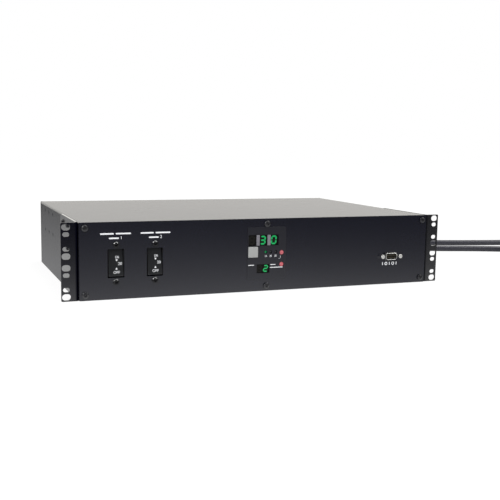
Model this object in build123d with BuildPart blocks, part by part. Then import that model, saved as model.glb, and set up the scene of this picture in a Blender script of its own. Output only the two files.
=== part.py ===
# A rack static transfer switch, two rack units high, with two input cords.
# Origin under the middle of the unit, +Z up, front panel towards -Y, width along X.
from build123d import *

import os
from math import atan2, cos, degrees, hypot, pi, radians, sin, sqrt, tan

os.makedirs("parts", exist_ok=True)

# Driving dimensions, in millimetres
housing_width = 438.6
housing_depth = 300.0
panel_height = 85.7
ear_reach = 18.7
slot_edge = 5.45
slot_end = 4.75
plate = 2.0
sheet = 1.2
rear_plate = 1.5
lip = 13.0
cord_width = 9.4

# Clearances
fit_gap = 0.15
edge_gap = 0.3
running_gap = 0.05
overrun = 1.0

# What stands out of the front and the rear, so that the origin stays under the middle
jack_length = 5.0
screw_head_rise = 2.4
front_y = -(housing_depth + screw_head_rise - jack_length) / 2
rear_y = front_y + housing_depth
cover_y = front_y + plate
cover_end_y = rear_y - rear_plate
middle_z = panel_height / 2
side_x = housing_width / 2
panel_width = housing_width - 2 * edge_gap
ear_span = housing_width + 2 * ear_reach
rack_hole_span = ear_span - 2 * slot_edge
rack_hole_rise = panel_height - 2 * slot_end

# Screws of the panels, the ears and the breakers
screw_width = 4.0
screw_head_width = 7.2
small_head_width = 6.6
screw_length = 8.0
screw_hole_width = screw_width + 2 * fit_gap
screw_inset = 6.2
screw_head_bevel = 0.7
head_taper = degrees(atan2(screw_head_bevel, screw_head_rise))
forward = (0, -1, 0)
rearward = (0, 1, 0)


def upright(y):
    """A plane whose own x and y are the unit's X and Z, at the depth y, facing the front."""
    return Plane.XZ.offset(-y)


def keep(piece, name):
    """Labels a finished piece and writes its file."""
    piece.part.label = name
    export_step(piece.part, f"parts/{name}.step")


def pan_screws(name, planes, head_width):
    """Screws whose heads sit on the planes and whose shanks go in behind them."""
    with BuildPart() as screws:
        with BuildSketch(*planes):
            Circle(head_width / 2)
        extrude(amount=screw_head_rise, taper=head_taper)
        with BuildSketch(*planes):
            Circle(screw_width / 2)
        extrude(amount=-screw_length)
    keep(screws, name)


# Top cover: one sheet folded over the top and both sides, with lips turned in front and rear
cover_bend = 2.4
spare_hole_pitch = 33.3
spare_hole_rise = 25.8
spare_hole_width = 4.2
spare_hole_inset = 48.0
ear_hole_inset = 22.0
side_row_drop = 8.2
relief_width = 3.0
cover_length = cover_end_y - cover_y
cover_inner = side_x - sheet
side_row_z = panel_height - side_row_drop
ear_holes_y = [cover_y + ear_hole_inset + spare_hole_pitch * n for n in range(3)]
spare_holes_y = [rear_y - spare_hole_inset - spare_hole_pitch * n for n in range(3)]
side_rows_z = [side_row_z, side_row_z - spare_hole_rise]
side_holes = [(y, z) for y in ear_holes_y + spare_holes_y for z in side_rows_z]
panel_screw_x = panel_width / 2 - screw_inset
top_row_z = panel_height - screw_inset
bottom_row_z = screw_inset
cover_screws = [(x, top_row_z) for x in (-panel_screw_x, 0, panel_screw_x)]
cover_screws += [(x, bottom_row_z) for x in (-panel_screw_x, panel_screw_x)]
panel_screws = [(x, z) for x in (-panel_screw_x, 0, panel_screw_x) for z in (top_row_z, bottom_row_z)]

with BuildPart() as top_cover:
    with BuildSketch(upright(cover_y)):
        with BuildLine():
            FilletPolyline(
                (-side_x + sheet / 2, 0),
                (-side_x + sheet / 2, panel_height - sheet / 2),
                (side_x - sheet / 2, panel_height - sheet / 2),
                (side_x - sheet / 2, 0),
                radius=cover_bend - sheet / 2,
            )
        trace(line_width=sheet)
    extrude(amount=-cover_length)
    with BuildSketch(upright(cover_y), upright(cover_end_y - sheet)):
        Rectangle(housing_width - sheet, panel_height - sheet / 2, align=(Align.CENTER, Align.MIN))
        Rectangle(
            housing_width - 2 * lip,
            panel_height - lip,
            align=(Align.CENTER, Align.MIN),
            mode=Mode.SUBTRACT,
        )
        with Locations((-side_x + lip, panel_height - lip), (side_x - lip, panel_height - lip)):
            Circle(relief_width / 2, mode=Mode.SUBTRACT)
    extrude(amount=-sheet)
    with BuildSketch(upright(cover_y)):
        with Locations(*cover_screws):
            Circle(screw_hole_width / 2)
    extrude(amount=-cover_length, mode=Mode.SUBTRACT)
    with BuildSketch(Plane.YZ.offset(-side_x)):
        with Locations(*side_holes):
            Circle(spare_hole_width / 2)
    extrude(amount=housing_width, mode=Mode.SUBTRACT)
keep(top_cover, "top_cover")

# Base pan: the floor between the cover's sides, turned up along all four edges
pan_bend = 1.6
pan_half = cover_inner - fit_gap
pan_tab_half = side_x - lip - edge_gap
pan_front = cover_y + sheet + fit_gap
pan_length = cover_length - 2 * sheet - 2 * fit_gap

with BuildPart() as base_pan:
    with BuildSketch(upright(pan_front)):
        with BuildLine():
            FilletPolyline(
                (-pan_half + sheet / 2, lip),
                (-pan_half + sheet / 2, sheet / 2),
                (pan_half - sheet / 2, sheet / 2),
                (pan_half - sheet / 2, lip),
                radius=pan_bend,
            )
        trace(line_width=sheet)
    extrude(amount=-pan_length)
    with BuildSketch(Plane.YZ.offset(-pan_tab_half)):
        with BuildLine():
            FilletPolyline(
                (cover_y + sheet / 2, lip),
                (cover_y + sheet / 2, sheet / 2),
                (cover_end_y - sheet / 2, sheet / 2),
                (cover_end_y - sheet / 2, lip),
                radius=pan_bend,
            )
        trace(line_width=sheet)
    extrude(amount=2 * pan_tab_half)
    with BuildSketch(upright(cover_y)):
        with Locations((0, bottom_row_z)):
            Circle(screw_hole_width / 2)
    extrude(amount=-cover_length, mode=Mode.SUBTRACT)
keep(base_pan, "base_pan")

# Places of what the front panel carries, from its middle, its ends or the lips behind it
breaker_inset = 40.1
breaker_pitch = 43.9
breaker_drop = 2.9
case_lip_gap = 0.95
breaker_screw_inset = 5.4
window_margin = 4.7
window_width = 18.6
window_corner = 0.8
overlay_width = 48.8
overlay_foot = 14.5
overlay_head_gap = 0.1
overlay_film = 0.4
digits_left_edge = 1.3
digits_right_edge = 9.7
digit_bar = 3.8
digit_window_height = 12.4
digits_gap = 1.3
button_edge = 1.0
button_width = 12.1
button_height = 12.5
button_rise = 3.65
small_led_width = 3.0
small_led_pitch = 6.4
small_led_gap = 7.6
small_led_rise = 3.4
lamp_edge = 5.1
lamp_width = 5.0
lamp_rise = 2.2
lamp_pitch = 14.0
small_window_width = 16.2
small_window_height = 10.4
small_window_shift = -4.3
small_window_drop = 16.2
port_inset = 51.2
port_drop = 7.8
shell_width = 17.0
shell_height = 8.4
shell_slant = 10.0
shell_corner = 2.2
port_hole_gap = 0.6
flange_side = 6.9
flange_rise = 2.05
jack_edge = 2.9
jack_hole_width = 3.2
hole_play = 2 * edge_gap
breakers_x = [-panel_width / 2 + breaker_inset + breaker_pitch * n for n in range(2)]
breaker_z = middle_z - breaker_drop
case_height = 2 * (breaker_z - lip - case_lip_gap)
breaker_screw_rise = case_height - 2 * breaker_screw_inset
window_height = breaker_screw_rise - 2 * window_margin
breaker_screws_z = [breaker_z + side * breaker_screw_rise / 2 for side in (-1, 1)]
breaker_screws = [(x, z) for x in breakers_x for z in breaker_screws_z]
overlay_top = top_row_z - screw_head_width / 2 - overlay_head_gap
overlay_height = overlay_top - overlay_foot
overlay_z = overlay_foot + overlay_height / 2
button_shift = -overlay_width / 2 + button_edge + button_width / 2
button_z = middle_z + button_rise
digits_width = overlay_width - digits_left_edge - digits_right_edge
digit_window_width = (digits_width - 2 * digit_bar) / 3
digit_pitch = digit_window_width + digit_bar
digits_shift = (digits_left_edge - digits_right_edge) / 2
digits_x = [digits_shift + digit_pitch * (n - 1) for n in range(3)]
digits_z = button_z + (button_height + digit_window_height) / 2 + digits_gap
lamp_shift = overlay_width / 2 - lamp_edge
lamps_z = [middle_z + lamp_rise - lamp_pitch * n for n in range(2)]
small_leds_x = [lamp_shift - small_led_gap - small_led_pitch * (2 - n) for n in range(3)]
small_leds_z = middle_z + small_led_rise
small_window_z = middle_z - small_window_drop
port_x = panel_width / 2 - port_inset
port_z = middle_z - port_drop
port_flange_width = shell_width + 2 * flange_side
port_flange_height = shell_height + 2 * flange_rise
jack_pitch = port_flange_width - 2 * jack_edge
jacks = [(port_x + side * jack_pitch / 2, port_z) for side in (-1, 1)]


def meter_openings():
    """The openings that the panel and the film over it share."""
    with BuildSketch(mode=Mode.PRIVATE) as openings:
        with Locations((digits_shift, digits_z)):
            Rectangle(digits_width + 2 * fit_gap, digit_window_height + 2 * fit_gap)
        with Locations((button_shift, button_z)):
            Rectangle(button_width + hole_play, button_height + hole_play)
        with Locations(*[(x, small_leds_z) for x in small_leds_x]):
            Circle((small_led_width + hole_play) / 2)
        with Locations(*[(lamp_shift, z) for z in lamps_z]):
            Circle((lamp_width + hole_play) / 2)
        with Locations((small_window_shift, small_window_z)):
            Rectangle(small_window_width, small_window_height)
    return openings.sketch


def port_outline(inset):
    """The shell's outline, narrower at the foot, drawn inset from its outside."""
    high = shell_height / 2 - inset
    half_top = shell_width / 2 - inset
    half_foot = half_top - 2 * high * tan(radians(shell_slant))
    corners = ((-half_top, high), (half_top, high), (half_foot, -high), (-half_foot, -high))
    with BuildSketch(mode=Mode.PRIVATE) as outline:
        with BuildLine():
            FilletPolyline(*corners, radius=shell_corner - inset, close=True)
        make_face()
    return outline.sketch


# Front panel: a flat plate screwed over the front of the box
panel_corner = 1.0

with BuildPart() as front_panel:
    with BuildSketch(upright(front_y)):
        with Locations((0, middle_z)):
            RectangleRounded(panel_width, panel_height, panel_corner)
        with Locations(*[(x, breaker_z) for x in breakers_x]):
            RectangleRounded(window_width, window_height, window_corner, mode=Mode.SUBTRACT)
        with Locations(*breaker_screws, *panel_screws):
            Circle(screw_hole_width / 2, mode=Mode.SUBTRACT)
        add(meter_openings(), mode=Mode.SUBTRACT)
        with Locations((port_x, port_z)):
            add(port_outline(-port_hole_gap), mode=Mode.SUBTRACT)
        with Locations(*jacks):
            Circle(jack_hole_width / 2, mode=Mode.SUBTRACT)
    extrude(amount=-plate)
keep(front_panel, "front_panel")

front_heads = [Plane(origin=(x, front_y, z), z_dir=forward) for x, z in panel_screws]
pan_screws("panel_screws", front_heads, screw_head_width)

# Rack ears: angle pieces with a slotted flange in front and a screwed flange on the side
ear_bend = 3.0
ear_flange_reach = 108.0
ear_corner = 1.2
ear_rear_corner = 6.0
slot_length = 9.4
slot_height = 7.0
small_slot_length = 7.2
small_slot_height = 4.9
small_slot_shift = 7.94
inner_hole_rise = 12.7
ear_y = cover_y + plate / 2
ear_x = side_x + plate / 2
big_slot_rises = [rack_hole_rise / 2, inner_hole_rise / 2]
small_slot_rises = [big_slot_rises[0] - small_slot_shift, big_slot_rises[1] + small_slot_shift]
big_slots = [(rack_hole_span / 2, middle_z + side * r) for side in (-1, 1) for r in big_slot_rises]
small_slots = [(rack_hole_span / 2, middle_z + side * r) for side in (-1, 1) for r in small_slot_rises]
ear_screws = [(y, z) for y in ear_holes_y for z in side_rows_z]

with BuildPart() as ear_right:
    with BuildSketch():
        with BuildLine():
            FilletPolyline(
                (ear_span / 2, ear_y),
                (ear_x, ear_y),
                (ear_x, cover_y + ear_flange_reach),
                radius=ear_bend - plate / 2,
            )
        trace(line_width=plate)
    extrude(amount=panel_height)
    fillet(ear_right.edges().filter_by(Axis.Y).group_by(Axis.X)[-1], ear_corner)
    fillet(ear_right.edges().filter_by(Axis.X).group_by(Axis.Y)[-1], ear_rear_corner)
    with BuildSketch(upright(cover_y - overrun)):
        with Locations(*big_slots):
            SlotOverall(slot_length, slot_height)
        with Locations(*small_slots):
            SlotOverall(small_slot_length, small_slot_height)
    extrude(amount=-plate - 2 * overrun, mode=Mode.SUBTRACT)
    with BuildSketch(Plane.YZ.offset(side_x - overrun)):
        with Locations(*ear_screws):
            Circle(screw_hole_width / 2)
    extrude(amount=plate + 2 * overrun, mode=Mode.SUBTRACT)
keep(ear_right, "ear_right")

with BuildPart() as ear_left:
    mirror(ear_right.part, about=Plane.YZ)
keep(ear_left, "ear_left")

ear_heads = [
    Plane(origin=(side * (side_x + plate), y, z), z_dir=(side, 0, 0))
    for side in (-1, 1)
    for y, z in ear_screws
]
pan_screws("ear_screws", ear_heads, small_head_width)

# Breakers: a moulded case behind each window, with a flat rocker on a pin
case_wall = 1.5
case_depth = 58.0
pocket_gap = 0.6
pocket_depth = 15.0
pivot_depth = 10.0
rocker_side_gap = 1.1
rocker_recess = 1.2
rocker_tilt = 7.5
rocker_edge = 0.35
pin_width = 3.0
hub_width = 8.0
blade_width = 6.3
blade_thick = 0.8
blade_length = 9.0
blade_pitch = 28.0
skirt_angle = 80.0
rocker_width = window_width - 2 * rocker_side_gap
pocket_width = rocker_width + 2 * pocket_gap
case_width = pocket_width + 2 * case_wall
pivot_y = front_y + pivot_depth
face_ahead = pivot_depth - rocker_recess
rocker_radius = hypot(window_height / 2 - rocker_edge, pivot_depth - plate)
face_half = sqrt(rocker_radius**2 - face_ahead**2)
face_angle = degrees(atan2(face_half, face_ahead))
rocker_front = (0, -cos(radians(rocker_tilt)), sin(radians(rocker_tilt)))


def on_rim(angle):
    """A point of the rocker's round rim, at an angle from straight ahead."""
    return (rocker_radius * cos(radians(angle)), rocker_radius * sin(radians(angle)))


for number, x in enumerate(breakers_x, 1):
    with BuildPart() as breaker_case:
        with BuildSketch(upright(cover_y)):
            with Locations((x, breaker_z)):
                Rectangle(case_width, case_height)
        extrude(amount=-case_depth)
        with BuildSketch(upright(cover_y)):
            with Locations(*[(x, z) for z in breaker_screws_z]):
                Circle(screw_hole_width / 2)
        extrude(amount=-screw_length, mode=Mode.SUBTRACT)
        with BuildSketch(upright(cover_y)):
            with Locations((x, breaker_z)):
                Rectangle(pocket_width, 2 * (rocker_radius + edge_gap))
        extrude(amount=-pocket_depth, mode=Mode.SUBTRACT)
        with BuildSketch(Plane.YZ.offset(x - case_width / 2)):
            with Locations((pivot_y, breaker_z)):
                Circle(pin_width / 2 + running_gap)
        extrude(amount=case_width, mode=Mode.SUBTRACT)
        with BuildSketch(upright(cover_y + case_depth)):
            with Locations((x, breaker_z - blade_pitch / 2), (x, breaker_z + blade_pitch / 2)):
                Rectangle(blade_width, blade_thick)
        extrude(amount=-blade_length)
    keep(breaker_case, f"breaker_{number}_case")

    with BuildPart() as rocker:
        with BuildSketch(Plane((x - rocker_width / 2, pivot_y, breaker_z), rocker_front, (-1, 0, 0))):
            with BuildLine():
                Line(on_rim(-face_angle), on_rim(face_angle))
                ThreePointArc(
                    on_rim(face_angle), on_rim((face_angle + skirt_angle) / 2), on_rim(skirt_angle)
                )
                Line(on_rim(skirt_angle), (0, hub_width / 2))
                ThreePointArc((0, hub_width / 2), (-hub_width / 2, 0), (0, -hub_width / 2))
                Line((0, -hub_width / 2), on_rim(-skirt_angle))
                ThreePointArc(
                    on_rim(-skirt_angle), on_rim(-(face_angle + skirt_angle) / 2), on_rim(-face_angle)
                )
            make_face()
            Circle(pin_width / 2 + running_gap, mode=Mode.SUBTRACT)
        extrude(amount=-rocker_width)
    keep(rocker, f"breaker_{number}_rocker")

    with BuildPart() as pin:
        with BuildSketch(Plane.YZ.offset(x - case_width / 2)):
            with Locations((pivot_y, breaker_z)):
                Circle(pin_width / 2)
        extrude(amount=case_width)
    keep(pin, f"breaker_{number}_pin")

breaker_heads = [Plane(origin=(x, front_y, z), z_dir=forward) for x, z in breaker_screws]
pan_screws("breaker_screws", breaker_heads, small_head_width)

# Meter: a film over the panel, a grey frame round three digits, and a board on standoffs
board = 1.6
board_width = 66.0
board_lip_gap = 0.85
board_depth = 9.6
board_hole_width = 3.2
digit_gap = 0.1
digit_sink = 0.6
frame_plate = 1.2
frame_rim = 1.0
button_proud = 1.3
button_travel = 0.8
button_corner = 0.8
switch_width = 12.0
switch_depth = 4.4
stem_width = 3.8
stem_play = 0.3
led_flange = 0.8
led_leg = 0.6
led_body_share = 1.5
small_led_sink = 0.2
lamp_proud = 1.6
standoff_width = 5.5
standoff_inset = 4.0
standoff_drop = 6.0
board_height = panel_height - 2 * (lip + board_lip_gap)
standoff_pitch_x = board_width - 2 * standoff_inset
standoff_pitch_z = board_height - 2 * standoff_drop
board_y = front_y + board_depth
button_back_y = board_y - switch_depth - button_travel - stem_play
standoffs = [(sx * standoff_pitch_x / 2, sz * standoff_pitch_z / 2) for sx in (-1, 1) for sz in (-1, 1)]
digits_middle = (digits_shift, digits_z)
bars_x = [digits_shift + side * digit_pitch / 2 for side in (-1, 1)]

with BuildPart() as meter_overlay:
    with BuildSketch(upright(front_y)):
        with Locations((0, overlay_z)):
            RectangleRounded(overlay_width, overlay_height, window_corner)
        add(meter_openings(), mode=Mode.SUBTRACT)
    extrude(amount=overlay_film)
keep(meter_overlay, "meter_overlay")

with BuildPart() as digit_frame:
    with BuildSketch(upright(cover_y)):
        with Locations(digits_middle):
            Rectangle(digits_width + 2 * frame_rim, digit_window_height + 2 * frame_rim)
        with Locations(*[(x, digits_z) for x in digits_x]):
            Rectangle(digit_window_width, digit_window_height, mode=Mode.SUBTRACT)
    extrude(amount=-frame_plate)
    with BuildSketch(upright(front_y - overlay_film)):
        with Locations(*[(x, digits_z) for x in bars_x]):
            Rectangle(digit_pitch - digit_window_width, digit_window_height)
    extrude(amount=-overlay_film - plate)
keep(digit_frame, "digit_frame")

digit_width = digit_window_width - 2 * digit_gap
digit_height = digit_window_height - 2 * digit_gap
for side, x in zip(("left", "middle", "right"), digits_x):
    with BuildPart() as digit:
        with BuildSketch(upright(front_y + digit_sink)):
            with Locations((x, digits_z)):
                Rectangle(digit_width, digit_height)
        extrude(amount=-board_depth + digit_sink)
    keep(digit, f"digit_{side}")

with BuildPart() as small_display:
    with BuildSketch(upright(front_y + digit_sink)):
        with Locations((small_window_shift, small_window_z)):
            Rectangle(small_window_width - 2 * digit_gap, small_window_height - 2 * digit_gap)
    extrude(amount=-board_depth + digit_sink)
keep(small_display, "small_display")

with BuildPart() as select_button:
    with BuildSketch(upright(front_y - button_proud)):
        with Locations((button_shift, button_z)):
            RectangleRounded(button_width, button_height, button_corner)
    extrude(amount=-(button_proud + button_back_y - front_y))
    chamfer(select_button.faces().sort_by(Axis.Y)[0].edges(), button_corner / 2)
    with BuildSketch(upright(button_back_y)):
        with Locations((button_shift, button_z)):
            Rectangle(stem_width, stem_width)
    extrude(amount=-switch_depth + stem_play)
keep(select_button, "select_button")

with BuildPart() as select_switch:
    with BuildSketch(upright(board_y)):
        with Locations((button_shift, button_z)):
            Rectangle(switch_width, switch_width)
            Rectangle(stem_width + 2 * stem_play, stem_width + 2 * stem_play, mode=Mode.SUBTRACT)
    extrude(amount=switch_depth)
keep(select_switch, "select_switch")


def indicator(name, x, z, width, top_y):
    """A round indicator with a domed top, a foot and two legs that reach the board."""
    dome_y = top_y + width / 2
    foot_y = top_y + width * led_body_share
    back_y = foot_y + led_flange
    wide_z = z + width / 2 + led_flange / 2
    with BuildPart() as lamp:
        with BuildSketch(Plane.YZ.offset(x)):
            with BuildLine():
                RadiusArc((top_y, z), (dome_y, z + width / 2), width / 2)
                Line((dome_y, z + width / 2), (foot_y, z + width / 2))
                Polyline((foot_y, z + width / 2), (foot_y, wide_z), (back_y, wide_z), (back_y, z))
                Line((back_y, z), (top_y, z))
            make_face()
        revolve(axis=Axis((x, 0, z), (0, 1, 0)))
        with BuildSketch(upright(back_y)):
            with Locations((x - width / 4, z), (x + width / 4, z)):
                Rectangle(led_leg, led_leg)
        extrude(amount=back_y - board_y)
    keep(lamp, name)


for number, x in enumerate(small_leds_x, 1):
    indicator(f"load_led_{number}", x, small_leds_z, small_led_width, front_y + small_led_sink)
for number, z in enumerate(lamps_z, 1):
    indicator(f"input_lamp_{number}", lamp_shift, z, lamp_width, front_y - lamp_proud)

with BuildPart() as meter_board:
    with BuildSketch(upright(board_y).shift_origin((0, board_y, middle_z))):
        Rectangle(board_width, board_height)
        with Locations(*standoffs):
            Circle(board_hole_width / 2, mode=Mode.SUBTRACT)
    extrude(amount=-board)
keep(meter_board, "meter_board")

with BuildPart() as meter_standoffs:
    with BuildSketch(upright(cover_y).shift_origin((0, cover_y, middle_z))):
        with Locations(*standoffs):
            RegularPolygon(standoff_width / 2, 6, major_radius=False)
    extrude(amount=cover_y - board_y)
    with BuildSketch(upright(board_y).shift_origin((0, board_y, middle_z))):
        with Locations(*standoffs):
            Circle(board_hole_width / 2 - fit_gap)
    extrude(amount=-2 * board)
keep(meter_standoffs, "meter_standoffs")

# Serial port: a plated shell on a flange behind the panel, its block and pins, and two nuts in front
port_flange = 0.6
port_flange_corner = 2.4
shell_wall = 0.6
port_floor = 1.0
port_back = 9.0
contact_pitch = 2.77
contact_row_pitch = 2.84
contact_width = 1.0
contact_sink = 0.9
contact_tail = 1.4
jack_width = 4.8
jack_shank = 2.8
shell_rise = 5.9
body_side_gap = 1.0
port_plane = upright(cover_y).shift_origin((port_x, cover_y, port_z))
jack_plane = port_plane.offset(plate)
contacts = [(contact_pitch * (n - 2), contact_row_pitch / 2) for n in range(5)]
contacts += [(contact_pitch * (n - 3 / 2), -contact_row_pitch / 2) for n in range(4)]
jack_places = [(-jack_pitch / 2, 0), (jack_pitch / 2, 0)]

with BuildPart() as port_shell:
    with BuildSketch(port_plane):
        RectangleRounded(port_flange_width, port_flange_height, port_flange_corner)
        with Locations(*jack_places):
            Circle(jack_hole_width / 2, mode=Mode.SUBTRACT)
    extrude(amount=-port_flange)
    with BuildSketch(port_plane):
        add(port_outline(0))
    extrude(amount=shell_rise)
    with BuildSketch(port_plane.offset(shell_rise)):
        add(port_outline(shell_wall))
    extrude(amount=-shell_rise - port_flange, mode=Mode.SUBTRACT)
keep(port_shell, "port_shell")

with BuildPart() as port_block:
    with BuildSketch(port_plane.offset(port_floor)):
        add(port_outline(shell_wall + running_gap))
    extrude(amount=-port_floor - port_flange)
    with BuildSketch(port_plane.offset(-port_flange)):
        RectangleRounded(shell_width + 2 * body_side_gap, shell_height + 2 * body_side_gap, window_corner)
    extrude(amount=-port_back)
    with BuildSketch(port_plane.offset(port_floor)):
        with Locations(*contacts):
            Circle(contact_width / 2 + running_gap)
    extrude(amount=-port_floor - port_flange - port_back, mode=Mode.SUBTRACT)
keep(port_block, "port_block")

with BuildPart() as port_pins:
    with BuildSketch(port_plane.offset(shell_rise - contact_sink)):
        with Locations(*contacts):
            Circle(contact_width / 2)
    extrude(amount=contact_sink - shell_rise - port_flange - port_back - contact_tail)
keep(port_pins, "port_pins")

with BuildPart() as port_nuts:
    with BuildSketch(jack_plane):
        with Locations(*jack_places):
            RegularPolygon(jack_width / 2, 6, major_radius=False)
    extrude(amount=jack_length)
    with BuildSketch(jack_plane):
        with Locations(*jack_places):
            Circle(jack_shank / 2)
    extrude(amount=-screw_length)
keep(port_nuts, "port_nuts")

# Rear panel, with two banks of outlets and a hole for each cord's relief
bank_columns = 4
bank_rows = 2
relief_bay = 122.0
bank_lip_gap = 1.25
bank_side_gap = 1.0
bank_gap = 6.0
bank_flange = 1.2
bank_rim = 2.5
bank_depth = 24.0
outlet_face = 1.0
outlet_side_gap = 10.0
outlet_row_gap = 2.6
outlet_corner = 7.0
slot_thick = 2.4
slot_tall = 8.4
slot_pitch = 12.7
cross_slot = 6.0
ground_width = 5.0
ground_drop = 11.9
slots_rise = 4.4
slot_depth = 12.0
relief_pitch = 38.0
relief_inset = 31.0
relief_drop = 12.8
relief_barrel_width = 16.6
bank_inset = lip + bank_side_gap
bank_width = (panel_width - bank_inset - bank_gap - relief_bay) / 2
bank_height = panel_height - 2 * (lip + bank_lip_gap)
outlet_pitch = bank_width / bank_columns
outlet_row_pitch = bank_height / bank_rows
outlet_width = outlet_pitch - outlet_side_gap
outlet_height = outlet_row_pitch - outlet_row_gap
banks_x = [-panel_width / 2 + bank_inset + bank_width / 2 + n * (bank_width + bank_gap) for n in range(2)]
reliefs_x = [side_x - relief_inset - relief_pitch * n for n in range(2)]
relief_z = middle_z - relief_drop

with BuildPart() as rear_panel:
    with BuildSketch(upright(cover_end_y)):
        with Locations((0, middle_z)):
            RectangleRounded(panel_width, panel_height, panel_corner)
        with Locations(*[(x, middle_z) for x in banks_x]):
            Rectangle(bank_width + 2 * fit_gap, bank_height + 2 * fit_gap, mode=Mode.SUBTRACT)
        with Locations(*[(x, relief_z) for x in reliefs_x]):
            Circle(relief_barrel_width / 2 + fit_gap, mode=Mode.SUBTRACT)
        with Locations(*panel_screws):
            Circle(screw_hole_width / 2, mode=Mode.SUBTRACT)
    extrude(amount=-rear_plate)
keep(rear_panel, "rear_panel")

rear_heads = [Plane(origin=(x, rear_y, z), z_dir=rearward) for x, z in panel_screws]
pan_screws("rear_screws", rear_heads, screw_head_width)

for number, x in enumerate(banks_x, 1):
    rear_face = Plane(origin=(x, rear_y, middle_z), x_dir=(-1, 0, 0), z_dir=rearward)
    with BuildPart() as bank:
        with BuildSketch(rear_face):
            RectangleRounded(bank_width + 2 * bank_rim, bank_height + 2 * bank_rim, bank_rim)
        extrude(amount=bank_flange)
        with BuildSketch(rear_face):
            Rectangle(bank_width, bank_height)
        extrude(amount=-bank_depth)
        with BuildSketch(rear_face.offset(bank_flange)):
            with GridLocations(outlet_pitch, outlet_row_pitch, bank_columns, bank_rows):
                RectangleRounded(outlet_width, outlet_height, outlet_corner)
        extrude(amount=outlet_face)
        with BuildSketch(rear_face.offset(bank_flange + outlet_face)):
            with GridLocations(outlet_pitch, outlet_row_pitch, bank_columns, bank_rows):
                with Locations((-slot_pitch / 2, slots_rise), (slot_pitch / 2, slots_rise)):
                    Rectangle(slot_thick, slot_tall)
                with Locations((-slot_pitch / 2 + slot_thick / 2, slots_rise)):
                    Rectangle(cross_slot, slot_thick, align=(Align.MAX, Align.CENTER))
                with Locations((0, slots_rise - ground_drop)):
                    Circle(ground_width / 2)
        extrude(amount=-slot_depth, mode=Mode.SUBTRACT)
    keep(bank, f"outlet_bank_{number}")

# Inside the box: a finned heat sink with two thyristor modules screwed to its base
sink_width = 190.0
sink_length = 110.0
sink_base = 9.0
sink_height = 52.0
sink_inset = 26.0
sink_shift = 14.0
sink_edge = 11.0
fin = 1.8
fin_count = 12
module_width = 34.0
module_length = 92.0
module_height = 30.0
module_step = 6.0
module_gap = 6.0
module_hole = 6.0
module_hole_pitch = 25.0
sink_left = -side_x + sink_inset
fins_width = sink_width - 2 * (module_gap + module_width) - sink_edge
fin_pitch = (fins_width - fin) / (fin_count - 1)
module_z = sheet + sink_base

with BuildPart() as heat_sink:
    with BuildSketch(Plane.XY.offset(sheet)):
        with Locations((sink_left, sink_shift)):
            Rectangle(sink_width, sink_length, align=(Align.MIN, Align.CENTER))
    extrude(amount=sink_base)
    with BuildSketch(Plane.XY.offset(module_z)):
        with Locations(*[(sink_left + fin_pitch * n, sink_shift) for n in range(fin_count)]):
            Rectangle(fin, sink_length, align=(Align.MIN, Align.CENTER))
    extrude(amount=sink_height - sink_base)
keep(heat_sink, "heat_sink")

for number in (1, 2):
    module_x = sink_left + fins_width + (module_gap + module_width) * number - module_width / 2
    module_top = Plane(origin=(module_x, sink_shift, module_z + module_height))
    with BuildPart() as module:
        with BuildSketch(module_top.offset(-module_height)):
            Rectangle(module_width, module_length)
        extrude(amount=module_height - module_step)
        with BuildSketch(module_top):
            Rectangle(module_width - module_step, module_length - 2 * module_step)
        extrude(amount=-module_step)
        with BuildSketch(module_top):
            with GridLocations(module_hole_pitch, module_hole_pitch, 1, 3):
                Circle(module_hole / 2)
        extrude(amount=-module_step, mode=Mode.SUBTRACT)
    keep(module, f"thyristor_module_{number}")

# Main board on spacers, with two control transformers, two current sensors and two terminal blocks
bay_gap = 28.6
main_length = 150.0
main_inset = 24.0
main_shift = -8.0
main_lift = 8.0
main_hole_inset = 6.0
spacer_width = 6.0
core_width = 48.0
core_depth = 24.0
core_height = 40.0
core_limb = 8.0
winding_depth = 36.0
transformer_inset = 34.0
transformer_pitch = 58.0
ring_width = 32.0
ring_bore = 14.0
ring_height = 13.0
ring_pitch = 44.0
ring_gap = 6.0
pole_count = 6
terminal_gap = 7.0
terminal_depth = 22.0
terminal_height = 18.0
terminal_wall = 1.8
terminal_step = 7.0
terminal_inset = 26.0
main_width = housing_width - sink_inset - sink_width - bay_gap - main_inset
pole_pitch = (main_width / 2 - terminal_gap) / pole_count
terminal_y = main_length / 2 - terminal_inset
ring_shift = terminal_y - terminal_depth / 2 - ring_gap - ring_width / 2
main_x = side_x - main_inset - main_width / 2
main_z = sheet + main_lift
main_middle = Plane(origin=(main_x, main_shift, main_z))
main_top = main_middle.offset(board)
main_holes_x = main_width - 2 * main_hole_inset
main_holes_y = main_length - 2 * main_hole_inset

with BuildPart() as main_board:
    with BuildSketch(main_middle):
        Rectangle(main_width, main_length)
        with GridLocations(main_holes_x, main_holes_y, 2, 2):
            Circle(board_hole_width / 2, mode=Mode.SUBTRACT)
    extrude(amount=board)
keep(main_board, "main_board")

with BuildPart() as board_spacers:
    with BuildSketch(main_middle):
        with GridLocations(main_holes_x, main_holes_y, 2, 2):
            RegularPolygon(spacer_width / 2, 6, major_radius=False)
    extrude(amount=-main_lift)
    with BuildSketch(main_middle):
        with GridLocations(main_holes_x, main_holes_y, 2, 2):
            Circle(board_hole_width / 2 - fit_gap)
    extrude(amount=2 * board)
keep(board_spacers, "board_spacers")

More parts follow.
